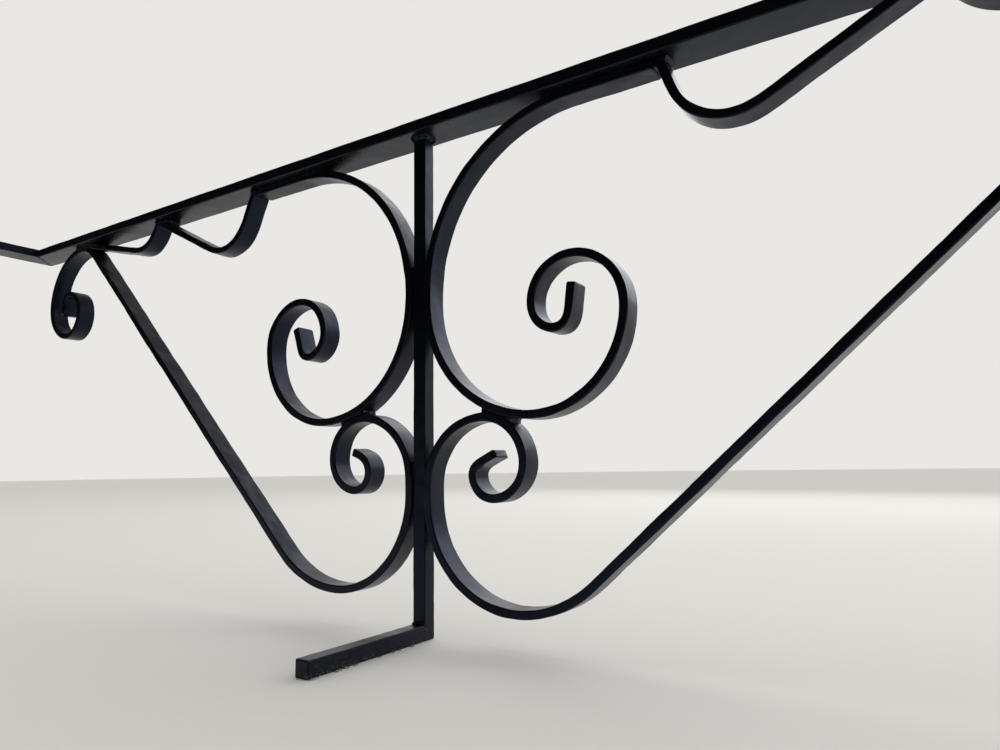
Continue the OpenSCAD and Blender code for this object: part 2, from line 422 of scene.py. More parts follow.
def uneven(points, seed, depth, wave):
    """Smooth unevenness at points: thrice the mean of twelve sine waves, within the depth.

    Their directions and phases are random, and their lengths lie within a third of the wave.
    """
    draw, count = np.random.default_rng(seed), 12
    ways = draw.normal(size=(count, 3))
    ways /= np.linalg.norm(ways, axis=1, keepdims=True)
    pitch = 2 * math.pi / (wave * draw.uniform(0.67, 1.33, count))
    phase = draw.uniform(0, 2 * math.pi, count)
    waves = np.sin(points @ (ways * pitch[:, None]).T + phase)
    return np.clip(3 * waves.sum(axis=-1) / count, -1, 1) * depth


class Section:
    """Section of a bar: a rectangle whose corners are quarter circles, drawn anticlockwise.

    a and b are the places, na and nb the outward directions, way the distance round it, and
    edge is 1 on the corners and 0 on the faces.
    """

    def __init__(self, thick, wide, arris, on_wide=5, on_thin=1):
        arc = np.radians(np.linspace(0, 90, 5))
        support, rows = 0.25 * MM, []
        for k in range(4):
            turn = arc + math.pi / 2 * k
            centre_a = (1 if k in (0, 3) else -1) * (thick / 2 - arris)
            centre_b = (1 if k in (0, 1) else -1) * (wide / 2 - arris)
            corner = [centre_a + arris * np.cos(turn), centre_b + arris * np.sin(turn),
                      np.cos(turn), np.sin(turn), np.ones(5)]
            # The face that follows the corner, with a support line close to each corner
            run = (thick if k % 2 == 0 else wide) - 2 * arris
            inner = on_thin if k % 2 == 0 else on_wide
            t = np.concatenate([[support / run], np.linspace(0, 1, inner + 2)[1:-1],
                                [1 - support / run]])
            out_a, out_b = np.cos(turn[-1]), np.sin(turn[-1])
            face = [corner[0][-1] - out_b * run * t, corner[1][-1] + out_a * run * t,
                    out_a + 0 * t, out_b + 0 * t, 0 * t]
            rows += [corner, face]
        self.a, self.b, self.na, self.nb, self.edge = np.concatenate(rows, axis=1)
        step = np.hypot(np.diff(self.a, append=self.a[0]), np.diff(self.b, append=self.b[0]))
        self.way = np.concatenate([[0.0], np.cumsum(step)])
        self.thick, self.wide, self.arris = thick, wide, arris


def end_rings(sec):
    """How a free end closes: advance and inset of its last rings.

    They follow a quarter circle, and two more rings lie in the plane of the end.
    """
    turn = np.radians([0, 30, 60, 90])
    advance = sec.arris * (np.sin(turn) - 1)
    inset = sec.arris * (1 - np.cos(turn))
    return np.append(advance, [0, 0]), np.append(inset, inset[-1] + [0.3 * MM, 1.2 * MM])


def stretch(sec, total, spacing, free):
    """Lengths and insets of the rings of a bar whose ends are free (True) or butt (False)."""
    s = np.linspace(0, total, max(int(total / spacing), 8) + 1)
    inset = np.zeros(len(s))
    advance, step_in = end_rings(sec)
    if free[0]:
        s = np.concatenate([-advance[::-1], s[1:]])
        inset = np.concatenate([step_in[::-1], inset[1:]])
    if free[1]:
        s = np.concatenate([s[:-1], total + advance])
        inset = np.concatenate([inset[:-1], step_in])
    return s, inset


def bar_grid(g, line, sec, seed, free):
    """Surface of a forged bar: its section carried along its line.

    Each ring is inset where a free end closes, and the flat of the tip is filed round: a
    fibre at distance b from the middle ends short by r - sqrt(r^2 - (|b| - w/2 + r)^2). The
    surface is then moved in or out by the dents, and the bar sways a little out of plane.
    """
    spacing, round_over, sways, bow = 1.8 * MM, 12 * MM, 0.5 * MM, 160 * MM
    s, inset = stretch(sec, line.total, spacing, free)
    a = sec.a * (1 - inset[:, None] / (sec.thick / 2))
    b = sec.b * (1 - inset[:, None] / (sec.wide / 2))
    r = g.bar.tip_corner
    beyond = np.clip(np.abs(b) - (sec.wide / 2 - r), 0, r)
    short = r - np.sqrt(r ** 2 - beyond ** 2)
    along = np.repeat(s[:, None], len(sec.a), axis=1)
    if free[0]:
        along = along + short * np.clip(1 - s[:, None] / round_over, 0, 1)
    if free[1]:
        along = along - short * np.clip(1 - (line.total - s[:, None]) / round_over, 0, 1)
    x, z, heading = line.at(along)
    grid = np.stack([x - np.sin(heading) * a, middle_y(g) - b, z + np.cos(heading) * a],
                    axis=-1)
    normal = np.stack([-np.sin(heading) * sec.na, -sec.nb + 0 * heading,
                       np.cos(heading) * sec.na], axis=-1)
    blows, nicks = 26 * MM, 9 * MM
    depth = uneven(grid, seed, g.bar.dents, blows) + uneven(grid, seed + 1, g.bar.dents / 3, nicks)
    grid += normal * depth[..., None]
    grid[..., 1] += uneven(np.stack([s, 0 * s, 0 * s], axis=-1), seed + 2, sways, bow)[:, None]
    return grid, s


def cut(rows, point, normal, ramp):
    """Slide the first end of a bar along itself onto a plane, less and less over the ramp."""
    tangent = rows[0].mean(axis=0) - rows[4].mean(axis=0)
    tangent /= np.linalg.norm(tangent)
    slide = ((np.array(point) - rows[0]) @ np.array(normal)) / (tangent @ np.array(normal))
    away = np.linalg.norm(rows.mean(axis=1) - rows[0].mean(axis=0), axis=1)
    share = np.clip(1 - away / ramp, 0, 1)
    rows += share[:, None, None] * slide[None, :, None] * tangent


class Shell:
    """A closed surface: a grid of rings, each closed on itself, and a fan over each end."""

    def __init__(self, grid, s, way, edge):
        self.grid, self.s, self.way, self.edge = grid, s, way, edge

    def turned(self, quarters):
        """The same surface turned about Z by a number of quarter turns."""
        grid = self.grid
        for _ in range(quarters):
            grid = grid[..., [1, 0, 2]] * [-1, 1, 1]
        return Shell(grid, self.s, self.way, self.edge)

    def mirrored(self):
        """The same surface on the right: x changes sign, and the rings run the other way."""
        grid = self.grid[:, ::-1] * [-1, 1, 1]
        return Shell(grid, self.s, self.way[-1] - self.way[::-1], self.edge[:, ::-1])


def shell_arrays(shell):
    """Vertices, face corners, face sizes, UVs and edge values of one shell."""
    n, m = shell.grid.shape[:2]
    centre = shell.grid[[0, -1]].mean(axis=1)
    verts = np.concatenate([shell.grid.reshape(-1, 3), centre])
    i, j = np.meshgrid(np.arange(n - 1), np.arange(m), indexing="ij")
    nxt = (j + 1) % m
    quads = np.stack([i * m + j, i * m + nxt, (i + 1) * m + nxt, (i + 1) * m + j], axis=-1)
    u = np.stack([shell.s[i], shell.s[i], shell.s[i + 1], shell.s[i + 1]], axis=-1)
    v = np.stack([shell.way[j], shell.way[j + 1], shell.way[j + 1], shell.way[j]], axis=-1)
    k = np.arange(m)
    k2 = (k + 1) % m
    first = np.stack([np.full(m, n * m), k2, k], axis=-1)
    last = np.stack([np.full(m, n * m + 1), (n - 1) * m + k, (n - 1) * m + k2], axis=-1)
    fans = np.concatenate([first, last])
    fan_u = np.repeat(shell.s[[0, -1]], 3 * m)
    fan_v = np.tile(np.stack([shell.way[:-1], shell.way[1:], shell.way[:-1]], axis=-1), (2, 1))
    corners = np.concatenate([quads.ravel(), fans.ravel()])
    sizes = np.concatenate([np.full((n - 1) * m, 4), np.full(2 * m, 3)])
    uv = np.stack([np.concatenate([u.ravel(), fan_u]),
                   np.concatenate([v.ravel(), fan_v.ravel()])], axis=-1)
    edge = np.concatenate([shell.edge.ravel(), [0.0, 0.0]])
    return verts, corners, sizes, uv, edge


def in_scene(name, data):
    """A new object in the scene."""
    thing = bpy.data.objects.new(name, data)
    bpy.context.scene.collection.objects.link(thing)
    return thing


def put(name, shells, material, replaces=()):
    """Put closed shells into one mesh object that rides on the part."""
    parts = list(zip(*(shell_arrays(shell) for shell in shells)))
    starts = np.cumsum([0] + [len(verts) for verts in parts[0]])
    parts[1] = [corners + start for corners, start in zip(parts[1], starts)]
    verts, corners, sizes, uv, edge = (np.concatenate(part) for part in parts)
    loops = np.concatenate([[0], np.cumsum(sizes)[:-1]])
    mesh = bpy.data.meshes.new(name)
    mesh.vertices.add(len(verts))
    mesh.vertices.foreach_set("co", verts.astype(np.float32).ravel())
    mesh.loops.add(len(corners))
    mesh.loops.foreach_set("vertex_index", corners.astype(np.int32))
    mesh.polygons.add(len(sizes))
    mesh.polygons.foreach_set("loop_start", loops.astype(np.int32))
    mesh.polygons.foreach_set("loop_total", sizes.astype(np.int32))
    mesh.polygons.foreach_set("use_smooth", np.ones(len(sizes), dtype=bool))
    mesh.uv_layers.new(name="along").uv.foreach_set("vector", uv.astype(np.float32).ravel())
    arris = mesh.attributes.new("arris", "FLOAT", "POINT")
    arris.data.foreach_set("value", edge.astype(np.float32))
    mesh.update()
    if mesh.validate():
        raise RuntimeError(f"{name}: the mesh had faulty faces")
    mesh.materials.append(material)
    piece = in_scene(name, mesh)
    if replaces:
        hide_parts(*replaces)
    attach(piece, "root")


def on_side(shell, h):
    """A shell is drawn on the left; the right half is its mirror image."""
    return shell.mirrored() if h == RIGHT else shell


def bar_shell(grid, s, sec):
    """Shell of a bar from its grid of rings."""
    return Shell(grid, s, sec.way, np.repeat(sec.edge[None, :], len(grid), axis=0))


# Finishes

def add(tree, kind, inputs=(), **settings):
    """Add a shader node of a kind, with its own settings, and its inputs as values or links.

    The inputs are given by name or by place. A node that is given as an input stands for its
    first output. The inputs of a map range are the value, the range it comes from and the
    range it goes to. A colour mix takes its factor at 0 and its colours at 6 and 7, and gives
    its colour at 2.
    """
    node = tree.nodes.new("ShaderNode" + kind)
    for key, value in settings.items():
        setattr(node, key, value)
    for key, value in inputs.items() if isinstance(inputs, dict) else enumerate(inputs):
        if isinstance(value, bpy.types.Node):
            value = value.outputs[0]
        if isinstance(value, bpy.types.NodeSocket):
            tree.links.new(value, node.inputs[key])
        else:
            node.inputs[key].default_value = value
    return node


def per(size):
    """How often a pattern of this size in millimetres repeats in a metre."""
    return 1 / (size * MM)


def new_material(name):
    """A node material that is still empty, and its tree."""
    material = bpy.data.materials.new(name)
    material.use_nodes = True
    material.node_tree.nodes.clear()
    return material, material.node_tree


def enamel(g, name):
    """Satin alkyd enamel, blue-black, brushed over hand-forged iron.

    The paint gives a near-black body with a soft wide highlight. The brush left fine streaks
    along each bar, 0.5 mm apart, and the hammer under it left shallow flats some 12 mm wide.
    The arrises are a little paler: partly paint wear, partly a painted highlight along every
    edge. Street dust lies on the faces that look up, with a few pale specks. Down by the sill
    the foot is scuffed and splashed with mortar.
    """
    material, tree = new_material(name)
    f = g.finish
    place = add(tree, "TexCoord").outputs["Object"]
    along = add(tree, "UVMap", uv_map="along")
    arris = add(tree, "Attribute", attribute_name="arris").outputs["Fac"]
    height = add(tree, "SeparateXYZ", [place]).outputs["Z"]
    normal = add(tree, "NewGeometry").outputs["Normal"]
    up = add(tree, "SeparateXYZ", [normal]).outputs["Z"]

    # Cloudy tone of the paint film, patches 40 mm across, and fine mottle at 3 mm
    clouds = add(tree, "TexNoise", {
        "Vector": place, "Scale": per(40), "Detail": 4.0, "Roughness": 0.6})
    mottle = add(tree, "TexNoise", {
        "Vector": place, "Scale": per(3.03), "Detail": 3.0, "Roughness": 0.55})

    # Wear and painted highlight: the arris, broken up by the clouds and the mottle
    edge = add(tree, "Math", [arris, 0.65], operation="MULTIPLY")
    broken = add(tree, "Math", [clouds, mottle], operation="MULTIPLY")
    worn_and_highlit = add(tree, "MapRange", [broken, 0.2, 0.42, 0.0, edge])

    # Dust: a film where the surface looks up, thicker in patches, and specks about 0.7 mm wide
    cover = add(tree, "MapRange", [clouds, 0.38, 0.7, 0.02, 0.14])
    film = add(tree, "MapRange", [up, 0.55, 0.98, 0.0, cover])
    grains = add(tree, "TexVoronoi", {"Vector": place, "Scale": per(3.846)})
    lot = add(tree, "SeparateColor", [grains.outputs["Color"]])
    pale = add(tree, "MapRange", [up, 0.0, 0.6, 0.05, 0.5])
    chosen = add(tree, "MapRange", [lot, 0.93, 0.95, 0.0, pale])
    specks = add(tree, "MapRange", [grains, 0.09, 0.16, chosen, 0.0])

    # Scuffs 8 mm long and 0.7 mm wide on the foot, and splashes 1.5 mm wide by the sill
    scuff_at = add(tree, "Mapping", {"Vector": along, "Scale": (per(8.33), per(0.667), 1.0)})
    scuffs = add(tree, "TexNoise", {"Vector": scuff_at, "Scale": 1.0, "Detail": 2.0})
    on_foot = add(tree, "MapRange", [height, 12 * MM, 16 * MM, 0.4, 0.0])
    scuffs = add(tree, "MapRange", [scuffs, 0.64, 0.72, 0.0, on_foot])
    splashes = add(tree, "TexNoise", {"Vector": place, "Scale": per(1.538), "Detail": 2.0})
    at_sill = add(tree, "MapRange", [height, 0.0, 5 * MM, 0.75, 0.0])
    splashes = add(tree, "MapRange", [splashes, 0.56, 0.62, 0.0, at_sill])
    dusty = film
    for layer in (specks, scuffs, splashes):
        dusty = add(tree, "Math", [dusty, layer], operation="ADD", use_clamp=True)

    # Painted highlight and wear: the arrises turn towards the paler colour
    tone = add(tree, "Mix", {
        0: worn_and_highlit, 6: (*f.paint, 1.0), 7: (*f.thin_and_highlit, 1.0)}, data_type="RGBA")
    dusted = add(tree, "Mix", {
        0: dusty, 6: tone.outputs[2], 7: (*f.dust, 1.0)}, data_type="RGBA")

    # Satin film, rougher where it is dusty
    gloss = add(tree, "MapRange", [clouds, 0.3, 0.75, 0.25, 0.35])
    rough = add(tree, "Math", [dusty, 0.4, gloss], operation="MULTIPLY_ADD", use_clamp=True)

    # Relief: hammer flats, then brush streaks along the bar, then the skin of the paint
    flats = add(tree, "TexVoronoi", {
        "Vector": place, "Scale": per(12.5), "Smoothness": 0.6}, feature="SMOOTH_F1")
    hammered = add(tree, "Bump", {"Strength": 0.35, "Distance": 0.5 * MM, "Height": flats})
    streak_at = add(tree, "Mapping", {"Vector": along, "Scale": (per(16.67), per(0.5), 1.0)})
    streaks = add(tree, "TexNoise", {"Vector": streak_at, "Scale": 1.0, "Detail": 3.0})
    brushed = add(tree, "Bump", {
        "Strength": 0.12, "Distance": 0.05 * MM, "Height": streaks, "Normal": hammered})
    skin = add(tree, "Bump", {
        "Strength": 0.12, "Distance": 0.05 * MM, "Height": mottle, "Normal": brushed})
    # The specular tint paints a cool sky-blue cast into every reflection
    shader = add(tree, "BsdfPrincipled", {
        "Base Color": dusted.outputs[2], "Roughness": rough, "Metallic": 0.0, "IOR": 1.5,
        "Specular IOR Level": 0.28, "Specular Tint": (*f.painted_reflection_tint, 1.0), "Normal": skin})
    add(tree, "OutputMaterial", {"Surface": shader})
    return material


def lime_mortar(g, name):
    """Lime mortar crumbs: matt, pale, with sand grains about 0.6 mm wide."""
    material, tree = new_material(name)
    place = add(tree, "TexCoord").outputs["Object"]
    sand = add(tree, "TexNoise", {"Vector": place, "Scale": per(0.625), "Detail": 2.0})
    grain = add(tree, "MapRange", [sand, 0.35, 0.65, 0.0, 1.0])
    shade = [0.55 * c for c in g.finish.mortar]
    tone = add(tree, "Mix", {
        0: grain, 6: (*shade, 1.0), 7: (*g.finish.mortar, 1.0)}, data_type="RGBA")
    bumps = add(tree, "Bump", {"Strength": 0.6, "Distance": 0.3 * MM, "Height": sand})
    shader = add(tree, "BsdfPrincipled", {
        "Base Color": tone.outputs[2], "Roughness": 0.95, "Normal": bumps})
    add(tree, "OutputMaterial", {"Surface": shader})
    return material


def finish(g, name, make):
    """The named finish, made the first time it is asked for."""
    return bpy.data.materials.get(name) or make(g, name)


def iron(g):
    """Finish of every bar and bead."""
    return finish(g, "satin black enamel on forged iron", enamel)


# Pieces

class GuardOperator:
    """What the operators of the guard share."""
    bl_options = {"REGISTER", "UNDO"}

    def execute(self, context):
        self.build(context.scene.window_guard)
        return {"FINISHED"}


def put_bar(g, name, grid, s, sec, h=LEFT):
    """Put a bar in the place of its node."""
    put(name + "_bar", [on_side(bar_shell(grid, s, sec), h)], iron(g), (name,))


def straight_bar(g, name, sec, ends, normal, total, rings, seed, h=LEFT):
    """A bar whose fibres run straight from its first ring to its last.

    Its faces are moved a little by the dents. The ring before each end draws back by the
    bevel, and two smaller rings lie in the plane of the end, so that the end is flat and a
    seam shows where two bars meet.
    """
    first, last, normal = (np.stack(np.broadcast_arrays(*v), axis=-1) for v in (*ends, normal))
    u = np.linspace(0, 1, rings)
    grid = first * (1 - u[:, None, None]) + last * u[:, None, None]
    bevel, cap = 0.45 * MM, 0.82
    dent, swells, dimples = 0.12 * MM, 60 * MM, 14 * MM
    depth = uneven(grid, seed, dent, swells) + uneven(grid, seed + 1, dent / 2, dimples) - dent
    grid = grid + normal * depth[..., None]
    caps = []
    for k, step in ((0, 1), (-1, -1)):
        ring = grid[k].copy()
        middle = ring.mean(axis=0)
        caps.append([middle + (ring - middle) * share
                     for share in (cap, 1 - 2 * bevel / sec.thick)])
        along = (grid[k + step] - ring).mean(axis=0)
        grid[k] = ring + along / np.linalg.norm(along) * bevel
    grid = np.concatenate([caps[0], grid, caps[1][::-1]])
    put_bar(g, name, grid, np.concatenate([[0, 0], u, [1, 1]]) * total, sec, h)


class GUARD_OT_rail(GuardOperator, Operator):
    """Top rail and its returns: one flat bar, mitred at both corners and welded"""
    bl_idname = "guard.rail"
    bl_label = "Rail and returns"

    def build(self, g):
        """Each fibre runs straight between a mitre, the plane y = +-x through the corner,
        and the next mitre or the wall."""
        rail = g.rail
        half, w = rail.half_w, rail.width
        sec = Section(w, rail.thickness, rail.arris, on_wide=1, on_thin=5)
        a, z = sec.a, rail.height + rail.thickness / 2 + sec.b
        # Along X the ring runs anticlockwise in (Y, Z)
        ends = (w / 2 - a - half[LEFT], a, z), (half[RIGHT] - w / 2 + a, a, z)
        straight_bar(g, "top_rail", sec, ends, (0, sec.na, sec.nb), sum(half), rings=160,
                     seed=11)
        # Along -Y it runs anticlockwise in (X, Z) with X counted to the left
        for h in (LEFT, RIGHT):
            x = w / 2 - a - half[h]
            straight_bar(g, "return_" + SIDES[h], sec, [(x, a, z), (x, -rail.reach, z)],
                         (-sec.na, 0, sec.nb), rail.reach, rings=40, seed=21 + h, h=h)


class GUARD_OT_post(GuardOperator, Operator):
    """Post and foot: one square bar, mitred at the bottom corner and welded"""
    bl_idname = "guard.post"
    bl_label = "Post and foot"

    def build(self, g):
        """Each fibre runs straight to the mitre, the plane z = side / 2 - y."""
        side, top, foot = g.post.side, g.rail.height, g.post.foot
        sec = Section(side, side, g.post.arris, on_wide=3, on_thin=3)
        # Upwards: anticlockwise in (X, Y)
        x, y = sec.a, sec.b
        straight_bar(g, "post", sec, [(x, y, side / 2 - y), (x, y, top)],
                     (sec.na, sec.nb, 0), top, rings=180, seed=31)
        # Backwards along -Y: anticlockwise in (X, Z) with X counted to the left
        x, z = -sec.a, side / 2 + sec.b
        straight_bar(g, "foot", sec, [(x, side / 2 - z, z), (x, -foot, z)],
                     (-sec.na, 0, sec.nb), foot, rings=60, seed=37)


def flat_section(g):
    """Section of the flat bar of the scrolls."""
    return Section(g.bar.thickness, g.bar.width, g.bar.arris)


def scrolls(g, name, line_of, seed):
    """The left and the right bar of a scroll, each along its own line."""
    sec = flat_section(g)
    for h in (LEFT, RIGHT):
        grid, s = bar_grid(g, line_of(g, h), sec, seed + 10 * h, (True, True))
        put_bar(g, name + SIDES[h], grid, s, sec, h)


class GUARD_OT_upper_scrolls(GuardOperator, Operator):
    """Upper scrolls: flat bar from under the rail, down to the post and into its coil"""
    bl_idname = "guard.upper_scrolls"
    bl_label = "Upper scrolls"

    def build(self, g):
        scrolls(g, "upper_scroll_", upper_line, seed=41)


class GUARD_OT_lower_scrolls(GuardOperator, Operator):
    """Lower scrolls: one long flat bar from its coil, along the diagonal, to the end spiral"""
    bl_idname = "guard.lower_scrolls"
    bl_label = "Lower scrolls"

    def build(self, g):
        scrolls(g, "lower_scroll_", lower_line, seed=61)


class GUARD_OT_waves(GuardOperator, Operator):
    """Waves: two hooked flat bars under each half of the rail"""
    bl_idname = "guard.waves"
    bl_label = "Waves"

    def build(self, g):
        """The hook of the inner wave ends on the underside of the rail, and that of the outer
        wave on the underside of the inner one's tail. Both tails end on the rail."""
        bar, w = g.bar, g.waves
        for h in (LEFT, RIGHT):
            plan = wave_plan(g, h)
            heading = plan["inner_heading"]
            across = np.array([-math.sin(heading), 0.0, math.cos(heading)])
            meet = np.array([plan["meet"][0], 0.0, plan["meet"][1]])
            self.wave(g, h, "inner", plan, w.inner_drop, w.inner_r[h], w.inner_turn[h],
                      (0, 0, g.rail.height - bar.gap / 2), (0, 0, 1), seed=81)
            self.wave(g, h, "outer", plan, w.outer_drop, w.outer_r, w.outer_turn[h],
                      meet + across * (bar.thickness + bar.gap) / 2, across, seed=85)

    def wave(self, g, h, kind, plan, drop, radius, turn, on, facing, seed):
        """One wave, whose hook ends on a plane through a point that faces the given way.

        Nothing rises above the underside of the rail.
        """
        sec, gap, top = flat_section(g), g.bar.gap, g.rail.height
        line = wave_line(plan[kind], drop - gap, radius, turn, plan[kind + "_heading"],
                         g.bar.ease)
        grid, s = bar_grid(g, line, sec, seed + 10 * h, (False, False))
        hook_ramp, tail_ramp = 9 * MM, 25 * MM
        cut(grid, on, facing, hook_ramp)
        cut(grid[::-1], (0, 0, top - gap / 2), (0, 0, 1), tail_ramp)
        grid[..., 2] = np.minimum(grid[..., 2], top - gap / 4)
        put_bar(g, f"{kind}_wave_{SIDES[h]}", grid, s, sec, h)


def bead(path, radius, ripple, lumps, seed):
    """A weld bead: a circle carried along a path, with r = R (1 - u^4)^(1/2) (1 + ripples).

    u runs from -1 to 1, and the surface is moved by lumps. The beads are a little paler,
    as wear and as painted highlight.
    """
    path, spacing, ripples, worn_and_highlit = np.array(path), 0.5 * MM, 0.07, 0.15
    step = np.linalg.norm(np.diff(path, axis=0), axis=1)
    s = np.concatenate([[0.0], np.cumsum(step)])
    rows = max(int(s[-1] / spacing), 12)
    u = np.sin(np.linspace(-1, 1, rows) * math.pi / 2) * 0.998
    at = (u + 1) / 2 * s[-1]
    centre = np.stack([np.interp(at, s, path[:, k]) for k in range(3)], axis=-1)
    tangent = np.gradient(centre, at, axis=0)
    tangent /= np.linalg.norm(tangent, axis=1, keepdims=True)
    steep = abs(tangent[0, 2]) >= 0.8
    side = np.cross([1.0, 0.0, 0.0] if steep else [0.0, 0.0, 1.0], tangent)
    side /= np.linalg.norm(side, axis=1, keepdims=True)
    out = np.cross(tangent, side)
    taper = np.sqrt(1 - u ** 4)
    r = radius * taper * (1 + ripples * np.sin(2 * math.pi * at / ripple))
    around = 20
    v = np.linspace(0, 2 * math.pi, around, endpoint=False)[None, :, None]
    ring = side[:, None, :] * np.cos(v) + out[:, None, :] * np.sin(v)
    grid = centre[:, None, :] + r[:, None, None] * ring
    grid = grid + ring * (uneven(grid, seed, lumps, LUMP) * taper[:, None])[..., None]
    way = np.linspace(0, 2 * math.pi * radius, around + 1)
    return Shell(grid, at, way, np.full(grid.shape[:2], worn_and_highlit))


def parting(touch, along, out, radius_a, radius_b, gap):
    """Two faces that curve apart from a contact, as far as they stand the gap apart.

    At a distance t from the contact the faces stand t^2 / 2 ra below and t^2 / 2 rb above its
    tangent, so the gap is reached at t = sqrt(2 gap / (1 / ra + 1 / rb)). Both are taken a
    little inside the bars.
    """
    bend_a, bend_b = 1 / radius_a, (1 / radius_b if radius_b else 0.0)
    t = np.linspace(0, math.sqrt(2 * gap / (bend_a + bend_b)), 9)[:, None]
    touch, along, out = (np.array(v, dtype=float) for v in (touch, along, out))
    sink = 0.3 * MM
    return (touch + along * t - out * (t ** 2 * bend_a / 2 + sink),
            touch + along * t + out * (t ** 2 * bend_b / 2 + sink))


def wedge(corner, way_a, way_b, leg):
    """Two straight faces that leave a corner in directions given as angles."""
    t = np.linspace(0, leg, 5)[:, None]
    return tuple(np.array(corner) + t * np.array([math.cos(way), math.sin(way)])
                 for way in (way_a, way_b))


def weld_fill(faces, hollow, half, middle_y, ripple, lumps, seed):
    """Weld metal between two faces that leave a corner.

    The section runs out along one face, across on a parabola drawn in by the hollow, and
    back along the other. It is carried along Y to half its length on both sides of its
    middle, and there it shrinks as (1 - w^16)^(1/2). Ripples and lumps move the surface.
    """
    # The weld metal takes a little of the paler arris colour, as wear and as painted highlight
    rows, ripples, worn_and_highlit, around = 41, 0.03, 0.1, 20 * MM
    face_a, face_b = faces
    end_a, end_b = face_a[-1], face_b[-1]
    v = np.linspace(0, 1, 11)[1:-1, None]
    inward = (face_a[0] + face_b[0]) / 2 - (end_a + end_b) / 2
    inward /= np.linalg.norm(inward)
    over = end_a * (1 - v) + end_b * v + inward * hollow * 4 * v * (1 - v)
    ring = np.concatenate([face_a, over, face_b[::-1]])
    nxt = np.roll(ring, -1, axis=0)
    if np.sum(ring[:, 0] * nxt[:, 1] - nxt[:, 0] * ring[:, 1]) > 0:
        ring = ring[::-1]
    middle = ring.mean(axis=0)
    w = np.sin(np.linspace(-1, 1, rows) * math.pi / 2) * 0.999
    y = middle_y + half * w
    taper = np.sqrt(1 - w ** 16)
    size = taper * (1 + ripples * np.sin(2 * math.pi * y / ripple))
    flat = middle + (ring - middle) * size[:, None, None]
    grid = np.stack([flat[..., 0], y[:, None] + 0 * flat[..., 0], flat[..., 1]], axis=-1)
    away = ring - middle
    away /= np.linalg.norm(away, axis=1, keepdims=True)
    moved = uneven(grid, seed, lumps, LUMP) * taper[:, None]
    grid[..., 0] += away[:, 0] * moved
    grid[..., 2] += away[:, 1] * moved
    way = np.linspace(0, around, len(ring) + 1)
    return Shell(grid, y, way, np.full(grid.shape[:2], worn_and_highlit))


